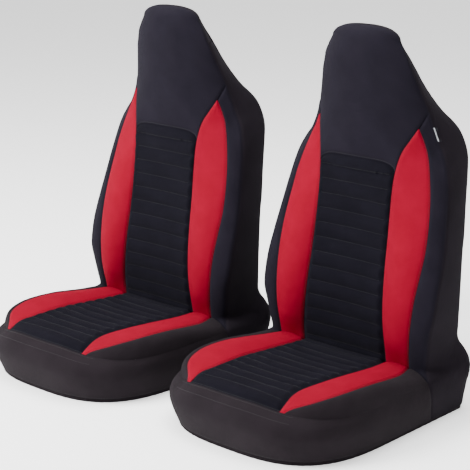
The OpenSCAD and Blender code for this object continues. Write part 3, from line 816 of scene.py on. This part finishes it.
MATERIALS = {
    "panel_jersey": fabric("panel_jersey_knit", (0.0056, 0.0047, 0.0080),
                           (0.0104, 0.0087, 0.0140), 0.95, 0.0016, 0.0013, 0.45, 0.02,
                           (0.8, 0.78, 0.9)),
    "quilted_insert": fabric("quilted_insert_knit", (0.0023, 0.0021, 0.0040),
                             (0.0052, 0.0047, 0.0082), 0.95, 0.0020, 0.0016, 0.55, 0.02,
                             (0.8, 0.78, 0.9)),
    "bolster_jersey": fabric("bolster_jersey_knit", (0.165, 0.0004, 0.0095),
                             (0.215, 0.0010, 0.0160), 0.9, 0.0015, 0.0012, 0.35, 0.0,
                             (1.0, 0.6, 0.65), nap=0.25),
    "skirt_jersey": fabric("skirt_jersey_knit", (0.0082, 0.0062, 0.0078),
                           (0.0146, 0.0112, 0.0138), 0.95, 0.0018, 0.0014, 0.45, 0.02,
                           (0.9, 0.85, 0.85)),
    "side_jersey": fabric("side_jersey_knit", (0.0062, 0.0046, 0.0066),
                          (0.0110, 0.0084, 0.0118), 0.95, 0.0016, 0.0013, 0.4, 0.02,
                          (0.85, 0.8, 0.9)),
    "elastic_webbing": webbing("elastic_webbing_ribs", (0.006, 0.006, 0.007),
                               (0.020, 0.020, 0.022)),
    "woven_label": label_satin("woven_label_satin"),
    "thread_dark": thread("thread_dark", (0.003, 0.0028, 0.0036)),
    "hook_steel": steel("hook_steel_wire"),
}


# ---------------- the cover's panels
def front_seam(base):
    """The skirt's top seam shows in front of the insert; at the sides the cloth runs on."""
    return 1 - smooth(146, 172, np.abs(base[..., 0]))


PANELS = [
    Panel("head_panel", head_point, "back", "panel_jersey", ["head_panel"], puff=3,
          slack=0.0012),
    Panel("back_insert", back_insert_point, "back", "quilted_insert", ["back_insert"],
          step=3.2, thick=INSERT_T, quilt=(2, BACK_FIRST, BACK_PITCH, QUILT_RISE), puff=0.5,
          slack=0.006),
    Panel("head_gusset", gusset_point, "back", "side_jersey", ["head_gusset"], step=4,
          seams=(1, 1, 0, 0), puff=0, slack=0.004),
    Panel("rear_panel", rear_point, "back", "side_jersey", ["rear_panel", "rear_skirt"],
          step=6, seams=(1, 1, 0, 1), puff=2, slack=0.0008),
    Panel("seat_insert", seat_insert_point, "seat", "quilted_insert", ["seat_insert"],
          step=3.2, thick=INSERT_T, seams=(1, 1, 0, 1), flap=True,
          quilt=(1, SEAT_FIRST, SEAT_PITCH, QUILT_RISE), puff=0.5, slack=0.006),
    Panel("skirt", skirt_point, "seat", "skirt_jersey", ["skirt"], step=4.5,
          seams=(1, 1, 0, front_seam), puff=2, slack=0.009),
]
# Panels that come in pairs: name, surface, body, slot, how each is finished.
PAIRS = [
    ("back_bolster", bolster_point, "back", "bolster_jersey",
     dict(step=4.5, puff=4, slack=0.010)),
    ("back_wing", wing_point, "back", "panel_jersey", dict(step=4.5, puff=2, slack=0.010)),
    ("side_panel", side_panel_point, "back", "side_jersey",
     dict(seams=(1, 1, 0, 0), puff=2, slack=0.0035)),
    ("seat_bolster", seat_bolster_point, "seat", "bolster_jersey",
     dict(step=4.5, seams=(1, 1, 0, 1), puff=4, slack=0.010, flap=True)),
    ("seat_wing", seat_wing_point, "seat", "skirt_jersey",
     dict(step=4.5, seams=(1, front_seam, 1, front_seam), puff=2, slack=0.010, flap=True)),
]
for name, surface, body, slot, how in PAIRS:
    for side, end in ((1, "_right"), (-1, "_left")):
        nodes = [name.replace("side_panel", "side_strip") + end]
        PANELS.append(Panel(name + end, surface, body, slot, nodes, side, **how))


def settle(panels):
    """Lets the sewn panels relax as cloth over the stuffed seat, then keeps how each moved.

    The panels are pinned along their seams, and the inserts along their sewn channels too. A
    light pressure from inside holds them up, and their slack makes the puffs and soft folds.
    """
    verts, quads, pins, loose, spans, count = [], [], [], [], [], 0
    for panel in panels:
        cols = max(int(round(panel.width / SIM_STEP)), 5) + 1
        rows = max(int(round(panel.length / SIM_STEP)), 5) + 1
        u, v = np.meshgrid(np.linspace(0, 1, cols), np.linspace(0, 1, rows))
        base = panel.master(u, v)
        n, flipped = panel.outward(base)
        edge = np.zeros((rows, cols), bool)
        edge[[0, -1]] = edge[:, [0, -1]] = True
        if panel.quilt:
            s = (base[..., panel.quilt[0]] - panel.quilt[1]) / panel.quilt[2]
            edge |= (np.abs(s - np.round(s)) < 0.5 * SIM_STEP / panel.quilt[2]) & (s < 0.5)
        start = base + n * RANDOM.uniform(0, 0.5, (rows, cols, 1)) * ~edge[..., None]
        ids = count + np.arange(rows * cols).reshape(rows, cols)
        face = np.stack([ids[:-1, :-1], ids[:-1, 1:], ids[1:, 1:], ids[1:, :-1]], -1)
        face = face.reshape(-1, 4)
        quads.append(face[:, ::-1] if flipped else face)
        verts.append(start.reshape(-1, 3))
        pins.append(ids[edge])
        loose.append((ids.ravel(), panel.slack / MAX_SLACK))
        spans.append((panel, base, n, count, rows, cols))
        count += rows * cols
    obj = make_mesh("settling", np.concatenate(verts), np.concatenate(quads))
    sewn = obj.vertex_groups.new(name="sewn")
    sewn.add(np.concatenate(pins).tolist(), 1.0, "REPLACE")
    slack = obj.vertex_groups.new(name="slack")
    for ids, weight in loose:
        slack.add(ids.tolist(), weight, "REPLACE")
    cloth = obj.modifiers.new("cloth", "CLOTH")
    for key, value in (
            ("quality", 6), ("mass", 0.25), ("tension_stiffness", 18),
            ("compression_stiffness", 18), ("shear_stiffness", 8), ("bending_stiffness", 0.15),
            ("air_damping", 2.0), ("vertex_group_mass", "sewn"), ("pin_stiffness", 1.0),
            ("use_pressure", True), ("uniform_pressure_force", SIM_PRESSURE),
            ("vertex_group_shrink", "slack"), ("shrink_min", 0.0), ("shrink_max", -MAX_SLACK)):
        setattr(cloth.settings, key, value)
    cloth.settings.effector_weights.gravity = 0
    cloth.collision_settings.use_collision = False
    cloth.point_cache.frame_start = 1
    cloth.point_cache.frame_end = SIM_FRAMES
    scene = bpy.context.scene
    for number in range(1, SIM_FRAMES + 1):
        scene.frame_set(number)
    settled = obj.evaluated_get(bpy.context.evaluated_depsgraph_get()).data
    place = np.zeros(count * 3)
    settled.vertices.foreach_get("co", place)
    place = place.reshape(-1, 3) * 1000
    for panel, base, n, first, rows, cols in spans:
        moved = place[first:first + rows * cols].reshape(rows, cols, 3) - base
        out = np.sum(moved * n, -1, keepdims=True)
        aside = moved - n * out
        panel.relief = (n * np.clip(out, SIM_FLOOR, SIM_CAP)
                        + np.clip(aside, -SIM_ASIDE, SIM_ASIDE))
    scene.frame_set(1)
    bpy.data.objects.remove(obj, do_unlink=True)


settle(PANELS)
for panel in PANELS:
    panel.finish_surface()
BY_NAME = {panel.name: panel for panel in PANELS}

PLACES = {}
for who in COVERS:
    low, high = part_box(who + "_hem")
    middle_x = (low[0] + high[0]) / 2
    PLACES[who] = np.array([middle_x, high[1] - SKIRT[0][3] / 1000, low[2]]) * 1000


def follow(obj, who, body):
    """Seat pieces ride with the seat; back pieces have their place baked into their points and stay
    still.
    """
    if body == "seat":
        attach(obj, who + "_seat")
        return
    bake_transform(obj)


def add_piece(who, name, cloth, body, slot, nodes=(), look=None):
    """Makes one piece of a cover from its [points, faces, uv], and hides the CAD parts it stands
    for.
    """
    verts, quads, uv = cloth
    obj = make_mesh(f"{who}_{name}", verts + PLACES[who], quads, uv, MATERIALS[look or slot])
    if nodes:
        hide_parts(*[f"{who}_{n}" for n in nodes])
    follow(obj, who, body)
    return obj


for who in COVERS:
    for panel in PANELS:
        verts, quads, used = shell(panel.outer, panel.inner, flipped=panel.flipped)
        uv = np.concatenate([panel.uv.reshape(-1, 2)] * 2)[used]
        obj = add_piece(who, panel.name + "_cloth", (verts, quads, uv), panel.body, panel.slot,
                        panel.nodes)
        if panel.quilt:
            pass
        else:
            panel.cut_area() / 1e6


# ---------------- hem, straps, label, stitches
def hem_line(n):
    """The hem's outer line, once round, at even distances: points [x, y]."""
    q = np.linspace(0, 1, 400)
    x, y = outline(np.minimum(q, 1 - q), np.where(q < 0.5, 1, -1), np.zeros_like(q))
    w, rear, r = SKIRT[0][1], SKIRT[0][3], REAR_CORNER_R
    f = np.linspace(0, math.pi / 2, 24)
    right = np.stack([w - r + r * np.cos(f), rear - r + r * np.sin(f)], -1)
    left = right[::-1] * [-1, 1]
    line = np.concatenate([np.stack([x, y], -1), left[::-1], right[::-1], [[w, OUTLINE_START]]])
    d = distances(line)
    at = np.linspace(0, d[-1], n, endpoint=False)
    return np.stack([np.interp(at, d, line[:, k]) for k in (0, 1)], -1), at


def closed_tube(line, at, section, gather):
    """A tube round the closed hem line; section is a loop of [inward, height] rows."""
    tangent = unit(np.roll(line, -1, 0) - np.roll(line, 1, 0))
    outward = np.stack([-tangent[:, 1], tangent[:, 0]], -1)
    if np.sum(outward * (line - line.mean(0))) < 0:
        outward = -outward
    n, m = len(line), len(section)
    verts = np.zeros((n, m, 3))
    verts[..., :2] = line[:, None] - outward[:, None] * section[None, :, :1]
    verts[..., :2] += outward[:, None] * gather[..., None]
    verts[..., 2] = section[None, :, 1]
    i, j = np.meshgrid(np.arange(n), np.arange(m), indexing="ij")
    i2, j2 = (i + 1) % n, (j + 1) % m
    quads = np.stack([i * m + j, i * m + j2, i2 * m + j2, i2 * m + j], -1).reshape(-1, 4)
    uv = np.stack(np.broadcast_arrays(at[:, None], distances(section)[None]), -1) / 1000
    return verts.reshape(-1, 3), quads, uv.reshape(-1, 2)


def rounded_section(width, height, corner, n=5):
    """A rounded rectangle from its outer face inward, as [inward, height] rows."""
    rows = []
    for cx, cy, start in ((corner, height - corner, 180), (width - corner, height - corner, 90),
                          (width - corner, corner, 0), (corner, corner, -90)):
        for a in np.radians(start - np.linspace(0, 90, n)):
            rows.append([cx + corner * math.cos(a), cy + corner * math.sin(a)])
    return np.array(rows)


def gathers(at, amount):
    """Small irregular ruffles along a length, where the elastic draws the cloth in."""
    wave = np.zeros_like(at)
    for turns, share in ((97, 0.5), (158, 0.35), (64, 0.4), (273, 0.2)):
        wave = wave + share * np.sin(2 * np.pi * turns * at / at.max() + RANDOM.uniform(0, 6.28))
    return amount * wave


def make_hem():
    line, at = hem_line(900)
    section = rounded_section(HEM_T, HEM_H, 2.6)
    ripple = gathers(at, 0.9)[:, None] * (0.6 + 0.4 * section[None, :, 1] / HEM_H)
    ripple = ripple * (section[None, :, 0] < HEM_T / 2)
    return closed_tube(line, at, section, ripple - 0.9)


def band(x0, x1, slots, y_mid):
    """Flat webbing along x with buttonhole slots at the given places."""
    xs = sorted(set(np.linspace(x0, x1, int((x1 - x0) / 3) + 2).tolist()
                    + [s for pair in slots for s in pair]))
    half, open_half = STRAP_W / 2, STRAP_W / 2 - SLOT_BAR
    ys = sorted(set(np.linspace(-half, half, 15).tolist() + [-open_half, open_half]))
    x, y = np.meshgrid(xs, ys)
    keep = np.ones((len(ys) - 1, len(xs) - 1), bool)
    cx, cy = (x[:-1, :-1] + x[1:, 1:]) / 2, (y[:-1, :-1] + y[1:, 1:]) / 2
    for a, b in slots:
        keep &= ~((cx > a) & (cx < b) & (np.abs(cy) < open_half))
    edge = 0.35 * (1 - np.minimum((half - np.abs(y)) / 1.5, 1))
    t = STRAP_T / 2 - edge
    outer, inner = points(x, y + y_mid, STRAP_Z + t), points(x, y + y_mid, STRAP_Z - t)
    uv = np.stack([y, x], -1) / 1000
    verts, quads, used = shell(outer, inner, keep)
    return verts, quads, np.concatenate([uv.reshape(-1, 2)] * 2)[used]


def joined(parts):
    verts, quads, uvs, n = [], [], [], 0
    for v, q, uv in parts:
        verts.append(v)
        quads.append(q + n)
        uvs.append(uv)
        n += len(v)
    return np.concatenate(verts), np.concatenate(quads), np.concatenate(uvs)


def make_label():
    """A folded woven tag caught in the driver's right side seam, blank on both faces."""
    h = np.linspace(LABEL_LOW, LABEL_LOW + LABEL_LEN, 25)
    out = np.linspace(-1.5, LABEL_W, 11)
    o, hh = np.meshgrid(out, h)
    turn = math.radians(LABEL_TURN)
    bow = 1.4 * np.sin(np.pi * (hh - LABEL_LOW) / LABEL_LEN) * (o / LABEL_W)
    x = side_w(hh) + o * math.cos(turn) - bow * math.sin(turn)
    y = side_y(hh) + o * math.sin(turn) + bow * math.cos(turn)
    mid = points(x, y, hh)
    n = surface_normals(mid)
    t = 0.45 + 0.2 * (o > LABEL_W - 1.5)
    verts, quads, used = shell(mid + n * t[..., None], mid - n * t[..., None])
    uv = np.stack([o, hh], -1).reshape(-1, 2) / 1000
    return verts, quads, np.concatenate([uv] * 2)[used]


STITCH_SIDES = 6


def stitches(at, n, pitch=4.6, length=3.3, radius=0.42, lift=0.15):
    """Short thread stitches along a line that lies on the fabric."""
    d = distances(at)
    middles = np.arange(pitch / 2, d[-1], pitch)
    ring = np.radians(np.arange(STITCH_SIDES) * 360 / STITCH_SIDES)
    stations = [(-0.5, 0.25, -0.55), (-0.36, 0.9, 0), (0, 1.0, 0.25), (0.36, 0.9, 0),
                (0.5, 0.25, -0.55)]

    def read(grid, s):
        return np.stack([np.interp(s, d, grid[:, k]) for k in range(3)], -1)
    c0, up = read(at, middles), read(n, middles)
    ahead = unit(read(at, middles + 1) - read(at, middles - 1))
    across = unit(np.cross(up, ahead))
    verts = np.zeros((len(middles), len(stations), STITCH_SIDES, 3))
    for k, (s, r, drop) in enumerate(stations):
        centre = c0 + ahead * s * length + up * (lift + drop * radius)
        for j, a in enumerate(ring):
            verts[:, k, j] = (centre + across * radius * r * math.cos(a)
                              + up * radius * r * math.sin(a))
    m, rows = len(middles), len(stations)
    i, k, j = np.meshgrid(np.arange(m), np.arange(rows - 1), np.arange(STITCH_SIDES),
                          indexing="ij")
    j2 = (j + 1) % STITCH_SIDES
    base = i * rows * STITCH_SIDES
    quads = np.stack([base + k * STITCH_SIDES + j, base + k * STITCH_SIDES + j2,
                      base + (k + 1) * STITCH_SIDES + j2, base + (k + 1) * STITCH_SIDES + j], -1)
    first = np.arange(m)[:, None] * rows * STITCH_SIDES
    last = first + (rows - 1) * STITCH_SIDES
    caps = [first + (0, 3, 2, 1), first + (0, 5, 4, 3), last + (0, 1, 2, 3), last + (0, 3, 4, 5)]
    quads = np.concatenate([quads.reshape(-1, 4)] + caps)
    uv = np.zeros((m, rows, STITCH_SIDES, 2))
    offsets = np.array([s for s, _, _ in stations]) * length
    uv[..., 0] = (middles[:, None] + offsets)[..., None] / 1e3
    uv[..., 1] = ring / 2000
    return verts.reshape(-1, 3), quads, uv.reshape(-1, 2)


def seam_stitches(panel_name, edge, inset):
    """Topstitching at a distance inside one edge of a panel."""
    panel = BY_NAME[panel_name]
    t = np.linspace(0.004, 0.996, 500)
    if panel_name == "skirt" and edge == "high":
        t = np.linspace(WING_END, 1 - WING_END, 300)
    if edge in ("left", "right"):
        u = np.full_like(t, inset / panel.width)
        return panel.at(u if edge == "left" else 1 - u, t)
    v = np.full_like(t, inset / panel.length)
    return panel.at(t, v if edge == "low" else 1 - v)


def channel_stitches(panel, margin=13):
    """Thread along the bottom of each sewn channel of an insert."""
    axis, first, pitch, _ = panel.quilt
    u = np.linspace(margin / panel.width, 1 - margin / panel.width, 120)
    lines = []
    c0, f = between(u, panel.us)
    grid = mix(panel.outer[:, c0, axis], panel.outer[:, c0 + 1, axis], f)
    rising = 1 if grid[-1, 0] > grid[0, 0] else -1
    for level in np.arange(first, grid.min(), -pitch):
        if not grid.min(0).max() + 12 < level < grid.max(0).min() - 3:
            continue
        v = np.array([np.interp(level * rising, grid[:, j] * rising, panel.vs)
                      for j in range(len(u))])
        at, n = panel.at(u, v)
        lines.append(stitches(at, n, pitch=4.2, length=3.0, radius=0.4))
    return joined(lines)


BOTH_EDGES = [(side, edge) for side in ("left", "right") for edge in ("left", "right")]
TOPSTITCHED = {
    "back": [("head_panel", "low", 3.5)] + [
        ("back_bolster_" + side, edge, 3.5) for side, edge in BOTH_EDGES],
    "seat": [("seat_insert", "high", 4), ("skirt", "high", 4), ("skirt", "high", 19),
             ("skirt", "low", 4)] + [
        ("seat_bolster_" + side, edge, 3.5) for side, edge in BOTH_EDGES],
}
for body in ("back", "seat"):
    lines = joined([stitches(*seam_stitches(*line)) for line in TOPSTITCHED[body]])
    for who in COVERS:
        add_piece(who, body + "_topstitching", lines, body, "panel_jersey", look="thread_dark")
    lines = channel_stitches(BY_NAME[body + "_insert"])
    for who in COVERS:
        add_piece(who, body + "_channel_stitching", lines, body, "quilted_insert",
                  look="thread_dark")

STRAP_SLOT = (STRAP_END - SLOT_BAR - SLOT_L, STRAP_END - SLOT_BAR)
LOOP_SLOT = (LOOP_IN + SLOT_BAR, LOOP_IN + SLOT_BAR + SLOT_L)
LOOP_OUT = LOOP_IN + LOOP_L
for who in COVERS:
    add_piece(who, "hem_casing", make_hem(), "seat", "skirt_jersey", ["hem"])
    for place, y_mid in zip(("front", "rear"), STRAP_YS):
        strap = band(-STRAP_END, STRAP_END, [STRAP_SLOT, (-STRAP_SLOT[1], -STRAP_SLOT[0])], y_mid)
        add_piece(who, f"strap_{place}_webbing", strap, "seat", "elastic_webbing",
                  ["strap_" + place])
    loops = []
    for y_mid in STRAP_YS:
        loops.append(band(LOOP_IN, LOOP_OUT, [LOOP_SLOT], y_mid))
        loops.append(band(-LOOP_OUT, -LOOP_IN, [(-LOOP_SLOT[1], -LOOP_SLOT[0])], y_mid))
    add_piece(who, "loop_webbing", joined(loops), "seat", "elastic_webbing", ["strap_loops"])
    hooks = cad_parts[who + "_strap_hooks"]
    hooks.data.materials.clear()
    hooks.data.materials.append(MATERIALS["hook_steel"])

add_piece("driver", "label_tag", make_label(), "back", "woven_label", ["label"])

# ---------------- floor, light, camera
bpy.ops.mesh.primitive_plane_add(size=80, location=(0, 0, 0))
floor = bpy.context.object
floor.name = "floor"
paint = bpy.data.materials.new("floor_paint")
paint.use_nodes = True
settings(paint.node_tree.nodes["Principled BSDF"], Base_Color=(0.95, 0.95, 0.95, 1),
         Roughness=0.8, Emission_Color=(1, 1, 1, 1), Emission_Strength=0.9)
floor.data.materials.append(paint)
floor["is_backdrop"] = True

world = bpy.data.worlds.new("studio")
world.use_nodes = True
settings(world.node_tree.nodes["Background"], Color=(1, 1, 1, 1), Strength=0.5)
bpy.context.scene.world = world


def softbox(name, place, target, size, watts):
    light = bpy.data.lights.new(name, "AREA")
    light.shape = "RECTANGLE"
    light.size, light.size_y = size
    light.energy = watts
    obj = bpy.data.objects.new(name, light)
    obj.location = place
    aim = np.array(target) - np.array(place)
    obj.rotation_euler = mathutils.Vector(aim).to_track_quat("-Z", "Y").to_euler()
    bpy.context.scene.collection.objects.link(obj)


softbox("key", (-2.2, -3.2, 3.4), (0, 0, 0.5), (2.4, 2.4), 640)
softbox("fill", (3.4, -1.6, 2.2), (0, 0, 0.5), (2.0, 2.0), 5)
softbox("top", (0.2, 0.2, 3.6), (0, 0, 0.3), (3.0, 2.4), 215)

lens = bpy.data.cameras.new("camera")
lens.lens = 114.9
lens.sensor_width = 36
lens.clip_end = 60
camera = bpy.data.objects.new("camera", lens)
camera.location = (2.6461, -2.8288, 1.4854)
camera.rotation_euler = (math.radians(90 - 15.33), 0, math.radians(42.24))
bpy.context.scene.collection.objects.link(camera)
bpy.context.scene.camera = camera

# ---------------- sizes
{"cad": plain(CAD_BOX), "visual": plain(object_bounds())}
